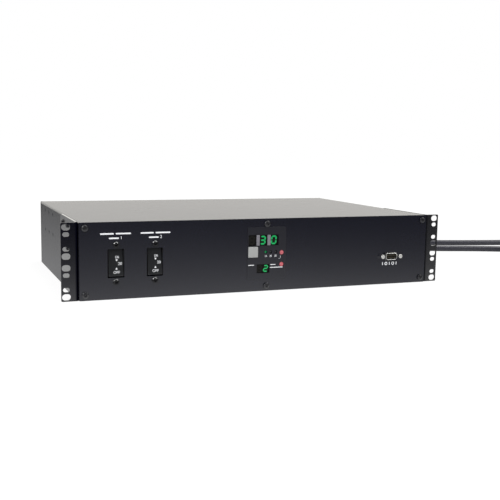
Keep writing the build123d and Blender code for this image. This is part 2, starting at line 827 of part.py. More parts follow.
for number in (1, 2):
    core_x = main_x + transformer_pitch * (number - 3 / 2)
    core_y = main_shift - main_length / 2 + transformer_inset
    core_z = main_z + board + core_height / 2
    core_middle = Plane(origin=(core_x, core_y, core_z), x_dir=(1, 0, 0), z_dir=forward)
    with BuildPart() as transformer:
        with BuildSketch(core_middle):
            Rectangle(core_width, core_height)
        extrude(amount=core_depth / 2, both=True)
        with BuildSketch(core_middle):
            RectangleRounded(core_width - 2 * core_limb, core_height - 2 * core_limb, core_limb / 2)
        extrude(amount=winding_depth / 2, both=True)
    keep(transformer, f"control_transformer_{number}")

for number in (1, 2):
    ring_x = ring_pitch * (number - 3 / 2)
    with BuildPart() as sensor:
        with BuildSketch(main_top):
            with Locations((ring_x, ring_shift)):
                Circle(ring_width / 2)
                Circle(ring_bore / 2, mode=Mode.SUBTRACT)
        extrude(amount=ring_height)
    keep(sensor, f"current_sensor_{number}")

for name, side in (("input", 1), ("output", -1)):
    terminal_place = (side * main_width / 4, terminal_y)
    with BuildPart() as terminals:
        with BuildSketch(main_top):
            with Locations(terminal_place):
                Rectangle(pole_count * pole_pitch, terminal_depth)
        extrude(amount=terminal_height)
        with BuildSketch(main_top.offset(terminal_height)):
            with Locations(terminal_place):
                with GridLocations(pole_pitch, pole_pitch, pole_count, 1):
                    Rectangle(pole_pitch - terminal_wall, terminal_depth)
        extrude(amount=-terminal_step, mode=Mode.SUBTRACT)
    keep(terminals, f"{name}_terminals")

# Cord reliefs: a moulded bush in the rear panel, tapered and grooved along the cord, with a nut
relief_flange_width = 24.0
relief_flange = 3.0
relief_length = 38.0
relief_base_width = 19.0
relief_tip_width = 12.4
relief_inside = 9.0
groove_depth = 1.2
groove_width = 3.2
groove_count = 4
nut_width = 24.0
nut_thick = 4.0
relief_tip_y = rear_y + relief_length
groove_pitch = (relief_length - relief_flange) / (groove_count + 1)
groove_slope = (relief_base_width - relief_tip_width) / (relief_length - relief_flange)

for number, x in enumerate(reliefs_x, 1):
    with BuildPart() as relief:
        with BuildSketch(Plane.YZ.offset(x)):
            with BuildLine():
                Polyline(
                    (cover_end_y - relief_inside, relief_z),
                    (cover_end_y - relief_inside, relief_z + relief_barrel_width / 2),
                    (rear_y, relief_z + relief_barrel_width / 2),
                    (rear_y, relief_z + relief_flange_width / 2),
                    (rear_y + relief_flange, relief_z + relief_flange_width / 2),
                    (rear_y + relief_flange, relief_z + relief_base_width / 2),
                    (relief_tip_y, relief_z + relief_tip_width / 2),
                    (relief_tip_y, relief_z),
                    close=True,
                )
            make_face()
        revolve(axis=Axis((x, 0, relief_z), (0, 1, 0)))
        for groove in range(groove_count):
            along = groove_pitch * (groove + 1)
            outer = relief_base_width - groove_slope * along
            with BuildSketch(upright(rear_y + relief_flange + along)):
                with Locations((x, relief_z)):
                    Circle(outer / 2 + overrun)
                    Circle(outer / 2 - groove_depth, mode=Mode.SUBTRACT)
            extrude(amount=-groove_width, mode=Mode.SUBTRACT)
    keep(relief, f"cord_relief_{number}")

with BuildPart() as relief_nuts:
    with BuildSketch(upright(cover_end_y)):
        with Locations(*[(x, relief_z) for x in reliefs_x]):
            RegularPolygon(nut_width / 2, 6, major_radius=False)
            Circle(relief_barrel_width / 2 + running_gap, mode=Mode.SUBTRACT)
    extrude(amount=nut_thick)
keep(relief_nuts, "relief_nuts")

# Input cords: straight out of the reliefs, down to the surface, out to the right, into a coil each.
# The route's points are x, distance behind the panel's face, and height.
cord_exit = 32.0
bend_share = 0.45
coil_widths = (107.4, 102.2)
coil_rows = 3
coil_lead = 22.0
low = cord_width / 2
cord_routes = (
    (
        (198.0, 408.0, 18.0),
        (220.0, 436.0, 8.5),
        (262.0, 448.0, low),
        (304.0, 432.0, low),
        (336.0, 396.0, low),
        (352.0, 346.0, low),
        (360.0, 292.0, low),
        (385.0, 249.65, low),
        (478.0, 225.2, low),
        (553.5, 188.4, low),
    ),
    (
        (158.0, 412.0, 19.0),
        (184.0, 446.0, 9.5),
        (230.0, 464.0, low),
        (284.0, 460.0, low),
        (334.0, 435.0, low),
        (374.0, 395.0, low),
        (398.0, 346.0, low),
        (430.0, 314.3, low),
        (516.0, 292.35, low),
        (602.4, 275.6, low),
        (679.3, 253.6, low),
    ),
)

# Locking plug on each cord's end: a ribbed body, a tapered grip and three curved blades
plug_width = 40.0
plug_body = 34.0
plug_collar = 12.0
plug_grip_width = 26.0
plug_grip = 36.0
plug_grip_tip = 15.0
plug_lead = 28.0
rib_width = 2.0
rib_count = 16
prong_ring = 24.0
prong_thick = 2.0
prong_gap = 11.0
prong_length = 18.0


def corner_radii(points):
    """One radius for each corner: its arc takes a set share of the shorter run beside it."""
    runs = [Vector(*after) - Vector(*before) for before, after in zip(points, points[1:])]
    turns = [radians(run.get_angle(after)) for run, after in zip(runs, runs[1:])]
    shorter = [min(run.length, after.length) for run, after in zip(runs, runs[1:])]
    return [bend_share * run / tan(turn / 2) for run, turn in zip(shorter, turns)]


for number, (x, places, coil_width) in enumerate(zip(reliefs_x, cord_routes, coil_widths), 1):
    points = [(x, relief_tip_y, relief_z), (x, relief_tip_y + cord_exit, relief_z)]
    points += [(px, front_y + py, pz) for px, py, pz in places]
    radii = corner_radii(points)
    with BuildPart() as cord:
        with BuildLine() as route:
            FilletPolyline(*points, radius=radii)
        with BuildSketch(Plane(origin=points[0], z_dir=rearward)):
            Circle(low)
        sweep()
    keep(cord, f"input_cord_{number}")
    length = sum(edge.length for edge in route.edges())
    print("cord", number, "is", round(length), "long, its radii are", [round(r) for r in radii])
    print("volume over section times length:", round(cord.part.volume / (pi * low**2 * length), 4))

    heading = (Vector(*points[-1]) - Vector(*points[-2])).normalized()
    aside = Vector(heading.Y, -heading.X, 0)
    outer_turn = coil_width / 2 + (coil_rows - 1) * low
    coil_middle = Vector(*points[-1]) + heading * coil_lead + aside * outer_turn
    coil_base = (coil_middle.X, coil_middle.Y, 0)
    with BuildPart() as coil:
        with BuildSketch(Plane(origin=coil_base, x_dir=(1, 0, 0), z_dir=forward)) as rows:
            with Locations((coil_width / 2, coil_rows * low)):
                Rectangle(coil_rows * cord_width, coil_rows * cord_width)
            chamfer(rows.vertices(), low / 2)
        revolve(axis=Axis(coil_base, (0, 0, 1)))
    keep(coil, f"cord_coil_{number}")

    plug_start = (coil_middle.X + outer_turn, coil_middle.Y - plug_lead, plug_width / 2)
    plug_plane = Plane(origin=plug_start, x_dir=(1, 0, 0), z_dir=forward)
    plug_face = plug_plane.offset(plug_grip + plug_body + plug_collar)
    with BuildPart() as plug:
        with BuildSketch(Plane(origin=plug_start, x_dir=forward, z_dir=(1, 0, 0))):
            with BuildLine():
                Polyline(
                    (0, 0),
                    (0, plug_grip_tip / 2),
                    (plug_grip, plug_grip_width / 2),
                    (plug_grip, plug_width / 2 - rib_width),
                    (plug_grip + plug_body, plug_width / 2 - rib_width),
                    (plug_grip + plug_body, plug_width / 2),
                    (plug_grip + plug_body + plug_collar, plug_width / 2),
                    (plug_grip + plug_body + plug_collar, 0),
                    close=True,
                )
            make_face()
        revolve(axis=Axis(plug_start, forward))
        with BuildSketch(plug_plane.offset(plug_grip)):
            with PolarLocations(plug_width / 2 - rib_width, rib_count):
                Circle(rib_width / 2)
        extrude(amount=plug_body)
    keep(plug, f"cord_plug_{number}")

    with BuildPart() as prongs:
        with BuildSketch(plug_face):
            Circle((prong_ring + prong_thick) / 2)
            Circle((prong_ring - prong_thick) / 2, mode=Mode.SUBTRACT)
            with PolarLocations(prong_ring / 2, 3):
                Rectangle(prong_gap, prong_gap, mode=Mode.SUBTRACT)
        extrude(amount=prong_length)
    keep(prongs, f"plug_prongs_{number}")
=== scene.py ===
import math

import bmesh
import bpy
import numpy as np
from mathutils import Matrix, Vector


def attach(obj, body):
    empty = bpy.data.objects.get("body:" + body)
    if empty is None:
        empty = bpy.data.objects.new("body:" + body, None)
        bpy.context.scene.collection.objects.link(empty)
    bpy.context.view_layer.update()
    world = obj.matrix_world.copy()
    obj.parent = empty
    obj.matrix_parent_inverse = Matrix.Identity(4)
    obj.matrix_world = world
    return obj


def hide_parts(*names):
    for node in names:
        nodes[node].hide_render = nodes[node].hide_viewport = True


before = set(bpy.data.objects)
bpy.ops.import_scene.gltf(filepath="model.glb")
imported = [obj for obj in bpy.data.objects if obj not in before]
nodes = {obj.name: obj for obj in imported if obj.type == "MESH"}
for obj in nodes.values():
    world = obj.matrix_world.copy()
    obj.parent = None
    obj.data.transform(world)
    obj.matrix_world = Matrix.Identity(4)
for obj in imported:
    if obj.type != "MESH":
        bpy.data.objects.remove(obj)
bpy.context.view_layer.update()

# Camera: fitted to the ears' eight rack slots and the housing's corners.
# It stands a metre in front, left of the unit and a little above it.
photo_pixels = 500
focal_pixels = 816.6
sensor_width = 36.0
yaw, pitch, roll = 0.38297, 0.13476, 0.01671
camera_place = (-0.373155, -1.022403, 0.176973)


def added(name, data):
    """A new object that holds the data, linked to the scene and left at the origin."""
    thing = bpy.data.objects.new(name, data)
    bpy.context.scene.collection.objects.link(thing)
    return thing


ahead = Vector((math.sin(yaw) * math.cos(pitch), math.cos(yaw) * math.cos(pitch), -math.sin(pitch)))
level_right = Vector((math.cos(yaw), -math.sin(yaw), 0))
level_up = level_right.cross(ahead)
camera_right = level_right * math.cos(roll) + level_up * math.sin(roll)
camera_up = level_up * math.cos(roll) - level_right * math.sin(roll)
camera_turn = Matrix((camera_right, camera_up, -ahead)).transposed().to_4x4()
camera_lens = bpy.data.cameras.new("photo_camera")
camera_lens.sensor_width = sensor_width
camera_lens.lens = focal_pixels * sensor_width / photo_pixels
camera = added("photo_camera", camera_lens)
camera.matrix_world = Matrix.Translation(camera_place) @ camera_turn
bpy.context.scene.camera = camera
bpy.context.scene.view_settings.view_transform = "Standard"


# Input cords: black rubber jackets 9.4 mm thick, 3.05 m long each. They leave their reliefs at the rear,
# come down to the floor, run out to the right and are put away in a flat coil beside the plug.
cord_radius = 0.0047
front_y = -0.1487
coil_radii = (0.0537, 0.0511)
coil_leads = 0.022
whole_turns = 7
points_per_turn = 16
turn_easing = 0.35
plug_drop = 0.028
plug_middle_z = 0.02
cord_routes = (
    (
        (0.1883, 0.338, 0.03005),
        (0.1883, 0.370, 0.03005),
        (0.198, 0.408, 0.018),
        (0.220, 0.436, 0.0085),
        (0.262, 0.448, 0.0047),
        (0.304, 0.432, 0.0047),
        (0.336, 0.396, 0.0047),
        (0.352, 0.346, 0.0047),
        (0.360, 0.292, 0.0047),
        (0.385, 0.24965, 0.0047),
        (0.478, 0.2252, 0.0047),
        (0.5535, 0.1884, 0.0047),
    ),
    (
        (0.1503, 0.338, 0.03005),
        (0.1503, 0.370, 0.03005),
        (0.158, 0.412, 0.019),
        (0.184, 0.446, 0.0095),
        (0.230, 0.464, 0.0047),
        (0.284, 0.460, 0.0047),
        (0.334, 0.435, 0.0047),
        (0.374, 0.395, 0.0047),
        (0.398, 0.346, 0.0047),
        (0.430, 0.3143, 0.0047),
        (0.516, 0.29235, 0.0047),
        (0.6024, 0.2756, 0.0047),
        (0.6793, 0.2536, 0.0047),
    ),
)


def coil_turns(last, before, mean_radius):
    """The points of the turns wound clockwise from the route's end to the plug.
    Angle falls evenly from the way in to zero; the turns run over the rings outer, middle, inner on the
    bottom layer, inner to outer on the second layer and outer on the third, easing over in each turn."""
    along = np.array(last[:2]) - np.array(before[:2])
    along /= np.linalg.norm(along)
    aside = np.array([along[1], -along[0]])
    outer = mean_radius + 2 * cord_radius
    middle = np.array(last[:2]) + along * coil_leads + aside * outer
    start = math.atan2(-aside[1], -aside[0])
    turns = whole_turns + start / (2 * math.pi)
    place = np.linspace(0, turns, int(round(turns * points_per_turn)))
    ring_of_turn = np.array([1, 0, -1, -1, 0, 1, 1, 1, 1])
    layer_of_turn = np.array([0, 0, 0, 1, 1, 1, 2, 2, 2])
    knots = np.arange(len(ring_of_turn)) + turn_easing
    ring = np.interp(place, knots, ring_of_turn)
    layer = np.interp(place, knots, layer_of_turn)
    radius = mean_radius + ring * 2 * cord_radius
    angle = start - place * 2 * math.pi
    x = middle[0] + radius * np.cos(angle)
    y = middle[1] + radius * np.sin(angle)
    z = cord_radius + layer * 2 * cord_radius
    nose = (middle[0] + outer, middle[1] - plug_drop, plug_middle_z)
    return np.vstack([np.stack([x, y, z], 1), nose])


def route_curve(name, points, radius):
    """A round tube along a NURBS line of order 3 with the route's points as its control points."""
    curve = bpy.data.curves.new(name, "CURVE")
    curve.dimensions = "3D"
    curve.bevel_depth = radius
    curve.bevel_resolution = 6
    curve.resolution_u = 6
    curve.use_fill_caps = True
    spline = curve.splines.new("NURBS")
    spline.points.add(len(points) - 1)
    spline.points.foreach_set("co", np.c_[points, np.ones(len(points))].ravel())
    spline.order_u = 3
    spline.use_endpoint_u = True
    return added(name, curve)


def sum_node(tree, operation, first, second):
    """One step of arithmetic: each side is a socket or a plain number."""
    step = tree.nodes.new("ShaderNodeMath")
    step.operation = operation
    for socket, value in zip(step.inputs, (first, second)):
        if isinstance(value, (int, float)):
            socket.default_value = value
        else:
            tree.links.new(value, socket)
    return step.outputs["Value"]


def ramp(tree, value, ends, levels):
    """The first level before the first end, the second past the second end, a straight line between."""
    slope = tree.nodes.new("ShaderNodeMapRange")
    for socket, number in zip(("From Min", "From Max", "To Min", "To Max"), (*ends, *levels)):
        slope.inputs[socket].default_value = number
    tree.links.new(value, slope.inputs["Value"])
    return slope.outputs["Result"]


def blended(tree, share, first, second):
    """The colour that is first times one minus the share, plus second times the share."""
    tint = tree.nodes.new("ShaderNodeMix")
    tint.data_type = "RGBA"
    tint.inputs[6].default_value = (*first, 1)
    tint.inputs[7].default_value = (*second, 1)
    tree.links.new(share, tint.inputs[0])
    return tint.outputs[2]


def noise_of(tree, place, scale, detail=2):
    """Noise between 0 and 1 at a place, with so many grains to the metre."""
    noise = tree.nodes.new("ShaderNodeTexNoise")
    noise.inputs["Scale"].default_value = scale
    noise.inputs["Detail"].default_value = detail
    tree.links.new(place, noise.inputs["Vector"])
    return noise.outputs["Fac"]


def node_finish(name, colour, roughness, grain, depth, metallic=0.0, stretch=(1, 1, 1), play=0.12, **numbers):
    """A finish worked out from fine and broad noise on the object's own coordinates, in metres.
    Their mean shifts the colour and the gloss by a share called play, and the fine noise raises a grain
    of the given depth. Other numbers go to the shader's sockets of the same names."""
    material = bpy.data.materials.new(name)
    material.use_nodes = True
    tree = material.node_tree
    shader = tree.nodes["Principled BSDF"]
    shader.inputs["Metallic"].default_value = metallic
    for socket, number in numbers.items():
        shader.inputs[socket.replace("_", " ")].default_value = number
    place = tree.nodes.new("ShaderNodeTexCoord")
    mapping = tree.nodes.new("ShaderNodeMapping")
    mapping.inputs["Scale"].default_value = stretch
    tree.links.new(place.outputs["Object"], mapping.inputs["Vector"])
    fine = noise_of(tree, mapping.outputs["Vector"], grain, 3)
    both = sum_node(tree, "ADD", fine, noise_of(tree, mapping.outputs["Vector"], grain / 40))
    dark = [part * (1 - play) for part in colour]
    light = [min(1, part * (1 + play)) for part in colour]
    tint = blended(tree, ramp(tree, both, (0, 2), (0, 1)), dark, light)
    tree.links.new(tint, shader.inputs["Base Color"])
    gloss = ramp(tree, both, (0, 2), (roughness * (1 - play), min(1, roughness * (1 + play))))
    tree.links.new(gloss, shader.inputs["Roughness"])
    bump = tree.nodes.new("ShaderNodeBump")
    bump.inputs["Strength"].default_value = 0.6
    bump.inputs["Distance"].default_value = depth
    tree.links.new(fine, bump.inputs["Height"])
    tree.links.new(bump.outputs["Normal"], shader.inputs["Normal"])
    return material


def dress(piece, material):
    """Gives a piece one finish."""
    piece.data.materials.clear()
    piece.data.materials.append(material)


jacket = node_finish("cord_jacket", (0.028, 0.028, 0.037), 0.36, 900, 0.00003, Specular_IOR_Level=0.5)
moulding = node_finish("moulded_rubber", (0.022, 0.022, 0.027), 0.45, 700, 0.00004)
prong_finish = node_finish("prong_brass", (0.62, 0.52, 0.30), 0.28, 400, 0.00001, metallic=1.0)
for number, (route, mean_radius) in enumerate(zip(cord_routes, coil_radii), 1):
    laid = np.array(route) + (0, front_y, 0)
    wound = coil_turns(laid[-1], laid[-2], mean_radius)
    cord = route_curve(f"input_cord_{number}_jacket", np.vstack([laid, wound]), cord_radius)
    dress(cord, jacket)
    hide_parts(f"input_cord_{number}", f"cord_coil_{number}")
    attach(cord, "unit")
    plug = nodes[f"cord_plug_{number}"]
    prongs = nodes[f"plug_prongs_{number}"]
    relief = nodes[f"cord_relief_{number}"]
    dress(plug, moulding)
    dress(prongs, prong_finish)
    dress(relief, moulding)


# Floor, surroundings and lamps: a pale studio floor that runs on past the view, soft white surroundings
# and three soft lamps. The floor shows white and keeps the unit's soft shadow. What mirrors it sees it
# grow dark in front of the unit, to its right and far behind it.
floor_reach = 4.0
floor_drop = 0.00002
floor_white = 1.05
floor_paint_white = 0.8
front_level = 1.5
front_fading = 0.38
right_fading = 0.9
behind_level = 0.55
behind_start = 0.1
behind_fading = 1.3
shadow_share = 0.2
shadow_start = 0.3
shadow_fading = 0.12
rear_sky_ends = (-0.3, 0.7)
rear_sky_level = 1.17
mirrored_warmth = (1.02, 1.0, 0.95)
ambient_level = 0.55
floor_corners = [(x * floor_reach, y * floor_reach, 0) for x, y in ((-1, -1), (1, -1), (1, 1), (-1, 1))]
floor_mesh = bpy.data.meshes.new("studio_floor")
floor_mesh.from_pydata(floor_corners, [], [(0, 1, 2, 3)])
floor = added("studio_floor", floor_mesh)
floor.location.z = -floor_drop


def place_and_axes(tree, kind="Object"):
    """The place that a ray meets, and its three coordinates by name."""
    place = tree.nodes.new("ShaderNodeTexCoord").outputs[kind]
    axes = tree.nodes.new("ShaderNodeSeparateXYZ")
    tree.links.new(place, axes.inputs["Vector"])
    return place, axes.outputs


def faded(tree, distance, reach, level):
    """The level times e to the power of minus the distance over the reach; no fading below zero distance."""
    share = sum_node(tree, "DIVIDE", sum_node(tree, "MAXIMUM", distance, 0), -reach)
    return sum_node(tree, "MULTIPLY", sum_node(tree, "EXPONENT", share, 0), level)


floor_paint = bpy.data.materials.new("studio_floor")
floor_paint.use_nodes = True
tree = floor_paint.node_tree
tree.nodes.clear()
ray = tree.nodes.new("ShaderNodeLightPath").outputs
place, axes = place_and_axes(tree)
in_front = sum_node(tree, "SUBTRACT", front_y, axes["Y"])
in_rear = sum_node(tree, "SUBTRACT", axes["Y"], behind_start)
to_right = faded(tree, axes["X"], right_fading, 1)
front_glow = sum_node(tree, "MULTIPLY", faded(tree, in_front, front_fading, front_level), to_right)
behind = sum_node(tree, "LESS_THAN", in_front, 0)
rear_part = sum_node(tree, "MULTIPLY", faded(tree, in_rear, behind_fading, behind_level), behind)
front_part = sum_node(tree, "MULTIPLY", front_glow, sum_node(tree, "SUBTRACT", 1, behind))
mirror_level = sum_node(tree, "ADD", rear_part, front_part)
straight = sum_node(tree, "MAXIMUM", ray["Is Camera Ray"], ray["Is Transmission Ray"])
seen = sum_node(tree, "MULTIPLY", straight, floor_white)
mirrored = sum_node(tree, "MULTIPLY", ray["Is Glossy Ray"], mirror_level)
glow = tree.nodes.new("ShaderNodeEmission")
tree.links.new(sum_node(tree, "MAXIMUM", seen, mirrored), glow.inputs["Strength"])
matt = tree.nodes.new("ShaderNodeBsdfDiffuse")
matt.inputs["Color"].default_value = (floor_paint_white, floor_paint_white, floor_paint_white, 1)
from_middle = tree.nodes.new("ShaderNodeVectorMath")
from_middle.operation = "LENGTH"
tree.links.new(place, from_middle.inputs[0])
outside = sum_node(tree, "SUBTRACT", from_middle.outputs["Value"], shadow_start)
shaded_share = faded(tree, outside, shadow_fading, shadow_share)
seen_share = sum_node(tree, "MULTIPLY", straight, sum_node(tree, "SUBTRACT", 1, shaded_share))
glow_or_matt = tree.nodes.new("ShaderNodeMixShader")
tree.links.new(sum_node(tree, "MAXIMUM", seen_share, ray["Is Glossy Ray"]), glow_or_matt.inputs["Fac"])
tree.links.new(matt.outputs["BSDF"], glow_or_matt.inputs[1])
tree.links.new(glow.outputs["Emission"], glow_or_matt.inputs[2])
paint_out = tree.nodes.new("ShaderNodeOutputMaterial")
tree.links.new(glow_or_matt.outputs["Shader"], paint_out.inputs["Surface"])
floor.data.materials.append(floor_paint)

world = bpy.data.worlds.new("soft_white_surroundings")
bpy.context.scene.world = world
world.use_nodes = True
tree = world.node_tree
sky = tree.nodes["Background"]
ray = tree.nodes.new("ShaderNodeLightPath").outputs
place, axes = place_and_axes(tree, "Generated")
straight = sum_node(tree, "MAXIMUM", ray["Is Camera Ray"], ray["Is Transmission Ray"])
rearness = ramp(tree, axes["Y"], rear_sky_ends, (0.0, rear_sky_level))
mirrored = sum_node(tree, "MULTIPLY", ray["Is Glossy Ray"], rearness)
ambient = sum_node(tree, "MULTIPLY", ray["Is Diffuse Ray"], ambient_level)
level = sum_node(tree, "MAXIMUM", straight, sum_node(tree, "MAXIMUM", mirrored, ambient))
tree.links.new(level, sky.inputs["Strength"])
tree.links.new(blended(tree, ray["Is Glossy Ray"], (1, 1, 1), mirrored_warmth), sky.inputs["Color"])

for name, place, aim, across, deep, watts in (
    ("left_lamp", (-1.5, -1.0, 1.3), (-0.1, -0.1, 0.04), 1.1, 1.1, 27),
    ("right_lamp", (1.5, -1.6, 1.2), (0.1, -0.1, 0.04), 0.9, 0.9, 10),
    ("top_lamp", (0.7, -0.2, 1.9), (0.7, -0.1, 0.05), 2.4, 0.9, 34),
):
    light = bpy.data.lights.new(name, "AREA")
    light.shape = "RECTANGLE"
    light.size = across
    light.size_y = deep
    light.energy = watts
    lamp = added(name, light)
    lamp.location = place
    lamp.rotation_euler = (Vector(aim) - Vector(place)).to_track_quat("-Z", "Y").to_euler()


# Housing: a cover folded from one sheet over the top and both sides, a base pan between its sides, a flat
# front panel, a rear panel and two slotted ears. All are steel with a baked black powder coat.
housing_height = 0.0857
ear_bend_shade_ends = (0.2214, 0.2234)
ear_face_ends = (-0.1400, -0.1385)
merge_reach = 0.000004
flat_angle = 0.01
sharp_angle = 0.6
coat = {"roughness": 0.27, "grain": 1500, "depth": 0.00002, "play": 0.05}


def ear_coat(name, colour, side, foot_painted_reflection, head_painted_reflection, flange_painted_reflection, flange_painted_sheen):
    """A powder coat for an ear whose level of reflection is painted light. Its flange along the housing's
    side has one level of reflection and, where its coat share isn't zero, a clear coat as a painted sheen. On
    the face the level is foot + (head - foot) * z / height, a painted reflection that changes with height,
    times the share of the way across the bend, held between 0 and 1, which lays a band of painted shade at
    the bend by the panel."""
    material = node_finish(name, colour, **coat, Coat_Roughness=0.2)
    tree = material.node_tree
    shader = tree.nodes["Principled BSDF"]
    axes = place_and_axes(tree)[1]
    # Painted reflection: the level changes with height, and falls to zero at the bend as painted shade.
    rise = ramp(tree, axes["Z"], (0.0, housing_height), (foot_painted_reflection, head_painted_reflection))
    clear_of_bend_shade = ramp(tree, axes["X"], [side * end for end in ear_bend_shade_ends], (0.0, 1.0))
    on_flange = ramp(tree, axes["Y"], ear_face_ends, (0.0, 1.0))
    face = sum_node(tree, "MULTIPLY", rise, clear_of_bend_shade)
    flange_more = sum_node(tree, "MULTIPLY", on_flange, sum_node(tree, "SUBTRACT", flange_painted_reflection, face))
    tree.links.new(sum_node(tree, "ADD", face, flange_more), shader.inputs["Specular IOR Level"])
    # The flange's clear coat is a painted sheen.
    if flange_painted_sheen:
        tree.links.new(sum_node(tree, "MULTIPLY", on_flange, flange_painted_sheen), shader.inputs["Coat Weight"])
    return material


def softened(node, ending, edge, steps, finish, body):
    """The node's own surface with its corners merged and each sharp edge rounded by the given radius.
    It takes the node's place on its body, under the node's name with an ending."""
    name = f"{node}_{ending}"
    mesh = nodes[node].data.copy()
    mesh.name = name
    work = bmesh.new()
    work.from_mesh(mesh)
    bmesh.ops.remove_doubles(work, verts=work.verts, dist=merge_reach)
    bmesh.ops.dissolve_limit(work, angle_limit=flat_angle, verts=work.verts, edges=work.edges)
    work.to_mesh(mesh)
    work.free()
    mesh.polygons.foreach_set("use_smooth", [True] * len(mesh.polygons))
    mesh.set_sharp_from_angle(angle=sharp_angle)
    piece = added(name, mesh)
    rounding = piece.modifiers.new("rounded_edges", "BEVEL")
    rounding.width = edge
    rounding.segments = steps
    rounding.limit_method = "ANGLE"
    rounding.angle_limit = sharp_angle
    rounding.harden_normals = True
    rounding.use_clamp_overlap = True
    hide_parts(node)
    dress(piece, finish)
    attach(piece, body)


powder = node_finish("black_powder_coat", (0.0026, 0.0030, 0.0092), **coat)
# The ears' coats are shaded and lit copies of the panel's coat: the left one darker as painted shade, the
# right one lighter as painted light.
left_ear_shaded_powder = ear_coat("left_ear_coat", (0.0012, 0.0014, 0.0050), -1, 0.58, 0.20, 0.35, 0.9)
right_ear_lit_powder = ear_coat("right_ear_coat", (0.0085, 0.0085, 0.0105), 1, 0.6, 0.45, 0.5, 0.0)
for node, edge, finish in (
    ("top_cover", 0.0003, powder),
    ("front_panel", 0.0003, powder),
    ("rear_panel", 0.0002, powder),
    ("ear_left", 0.0003, left_ear_shaded_powder),
    ("ear_right", 0.0003, right_ear_lit_powder),
):
    softened(node, "coated", edge, 2, finish, "unit")
dress(nodes["base_pan"], powder)


# Screws: pan heads with a cross recess, blackened steel. Six hold the front panel, six the rear panel,
# twelve the ears and four the breakers, whose heads carry a painted highlight: a clear coat along their upper
# rims.
around = 48
head_rise = 0.0024
recess_reach = 0.0019
recess_half = 0.00042
recess_depth = 0.0012
recess_end = 0.0003
shank_radius = 0.002
shank_tip_radius = 0.0016
shank_length = 0.008
shank_tip = 0.0002
first_turn = 0.7
turn_step = 1.9
rear_y = 0.1513
ear_side_x = 0.2213
breakers_x = (-0.1789, -0.135)
breaker_screws_z = (0.06055, 0.01935)
painted_highlight_start = 0.0005
painted_highlight_full = 0.00185
painted_highlight_coat = 0.7
blackened = node_finish("blackened_steel", (0.012, 0.012, 0.015), 0.32, 900, 0.00001)
painted_highlight = node_finish(
    "black_steel_painted_highlight",
    (0.002, 0.002, 0.003),
    0.2,
    900,
    0.000004,
    Specular_IOR_Level=0.22,
    Coat_IOR=2.6,
    Coat_Roughness=0.12,
)
# The breaker screws' coat weight rises over the upper part of each head, the same in both rows: a painted
# highlight.
tree = painted_highlight.node_tree
upper_z, lower_z = breaker_screws_z
above_row = sum_node(tree, "MODULO", place_and_axes(tree)[1]["Z"], upper_z - lower_z)
painted_highlight_share = ramp(tree, above_row, (lower_z + painted_highlight_start, lower_z + painted_highlight_full), (0.0, painted_highlight_coat))
tree.links.new(painted_highlight_share, tree.nodes["Principled BSDF"].inputs["Coat Weight"])


def screw_corners(head_radius):
    """One screw along +Z. Height over the radius: a shallow crown that falls off as the fourth power of the
    radius, with a cross cut into it whose depth fades at its walls; below it the flat seat and the shank."""
    crown = np.linspace(0.06, 1, 15) ** 0.8 * head_radius * 0.985
    angle = np.arange(around) * 2 * np.pi / around
    x = crown[:, None] * np.cos(angle)
    y = crown[:, None] * np.sin(angle)
    high = head_rise * (1 - 0.42 * (crown[:, None] / head_radius) ** 4) + 0 * x
    near = np.minimum(abs(x), abs(y))
    far = np.maximum(abs(x), abs(y))
    wall = np.clip((recess_half * 1.5 - near) / (recess_half * 0.7), 0, 1)
    end = np.clip((recess_reach - far) / recess_end, 0, 1)
    high = high - recess_depth * wall * end * (1 - 0.4 * far / recess_reach)
    below = np.array(
        [
            (head_radius, 0.45 * head_rise),
            (head_radius, 0.0),
            (shank_radius, 0.0),
            (shank_radius, shank_tip - shank_length),
            (shank_tip_radius, -shank_length),
        ]
    )
    low_x = below[:, :1] * np.cos(angle)
    low_y = below[:, :1] * np.sin(angle)
    low = np.stack([low_x, low_y, below[:, 1:] + 0 * angle], 2)
    rings = np.concatenate([np.stack([x, y, high], 2), low])
    top = [[0, 0, head_rise - recess_depth]]
    return np.vstack([top, rings.reshape(-1, 3), [[0, 0, -shank_length]]]), len(rings)


def turned_faces(rings):
    """Faces of a closed turned shape: a fan at each pole and four-sided faces between the rings."""
    here = np.arange(around)
    after = (here + 1) % around
    first = np.stack([0 * here, 1 + here, 1 + after], 1)
    base = 1 + np.arange(rings - 1)[:, None] * around
    sides = np.stack([base + here, base + around + here, base + around + after, base + after], 2)
    end = 1 + (rings - 1) * around
    last = np.stack([end + after, end + here, 0 * here + end + around], 1)
    return first.tolist() + sides.reshape(-1, 4).tolist() + last.tolist()


def screw_set(name, node, head_radius, places, outward, finish):
    """Copies of one screw, each turned by its own angle about its axis and set along its outward direction.
    A corner lies at the screw's place + x * side + y * rise + z * outward. The faces are turned outwards."""
    corners, rings = screw_corners(head_radius)
    out = np.array(outward, float)
    across = np.cross([0, 0, 1], out)
    across /= np.linalg.norm(across, axis=1)[:, None]
    up = np.cross(out, across)
    turn = first_turn + turn_step * np.arange(len(places))[:, None]
    side = across * np.cos(turn) + up * np.sin(turn)
    rise = up * np.cos(turn) - across * np.sin(turn)
    every = np.array(places, float)[:, None] + corners[None, :, :1] * side[:, None]
    every = every + corners[None, :, 1:2] * rise[:, None] + corners[None, :, 2:] * out[:, None]
    faces = turned_faces(rings)
    starts = [n * len(corners) for n in range(len(places))]
    all_faces = [[start + corner for corner in face] for start in starts for face in faces]
    mesh = bpy.data.meshes.new(name)
    mesh.from_pydata(every.reshape(-1, 3).tolist(), [], all_faces)
    work = bmesh.new()
    work.from_mesh(mesh)
    bmesh.ops.recalc_face_normals(work, faces=work.faces)
    work.to_mesh(mesh)
    work.free()
    mesh.polygons.foreach_set("use_smooth", [True] * len(mesh.polygons))
    mesh.set_sharp_from_angle(angle=sharp_angle)
    piece = added(name, mesh)
    dress(piece, finish)
    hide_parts(node)
    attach(piece, "unit")


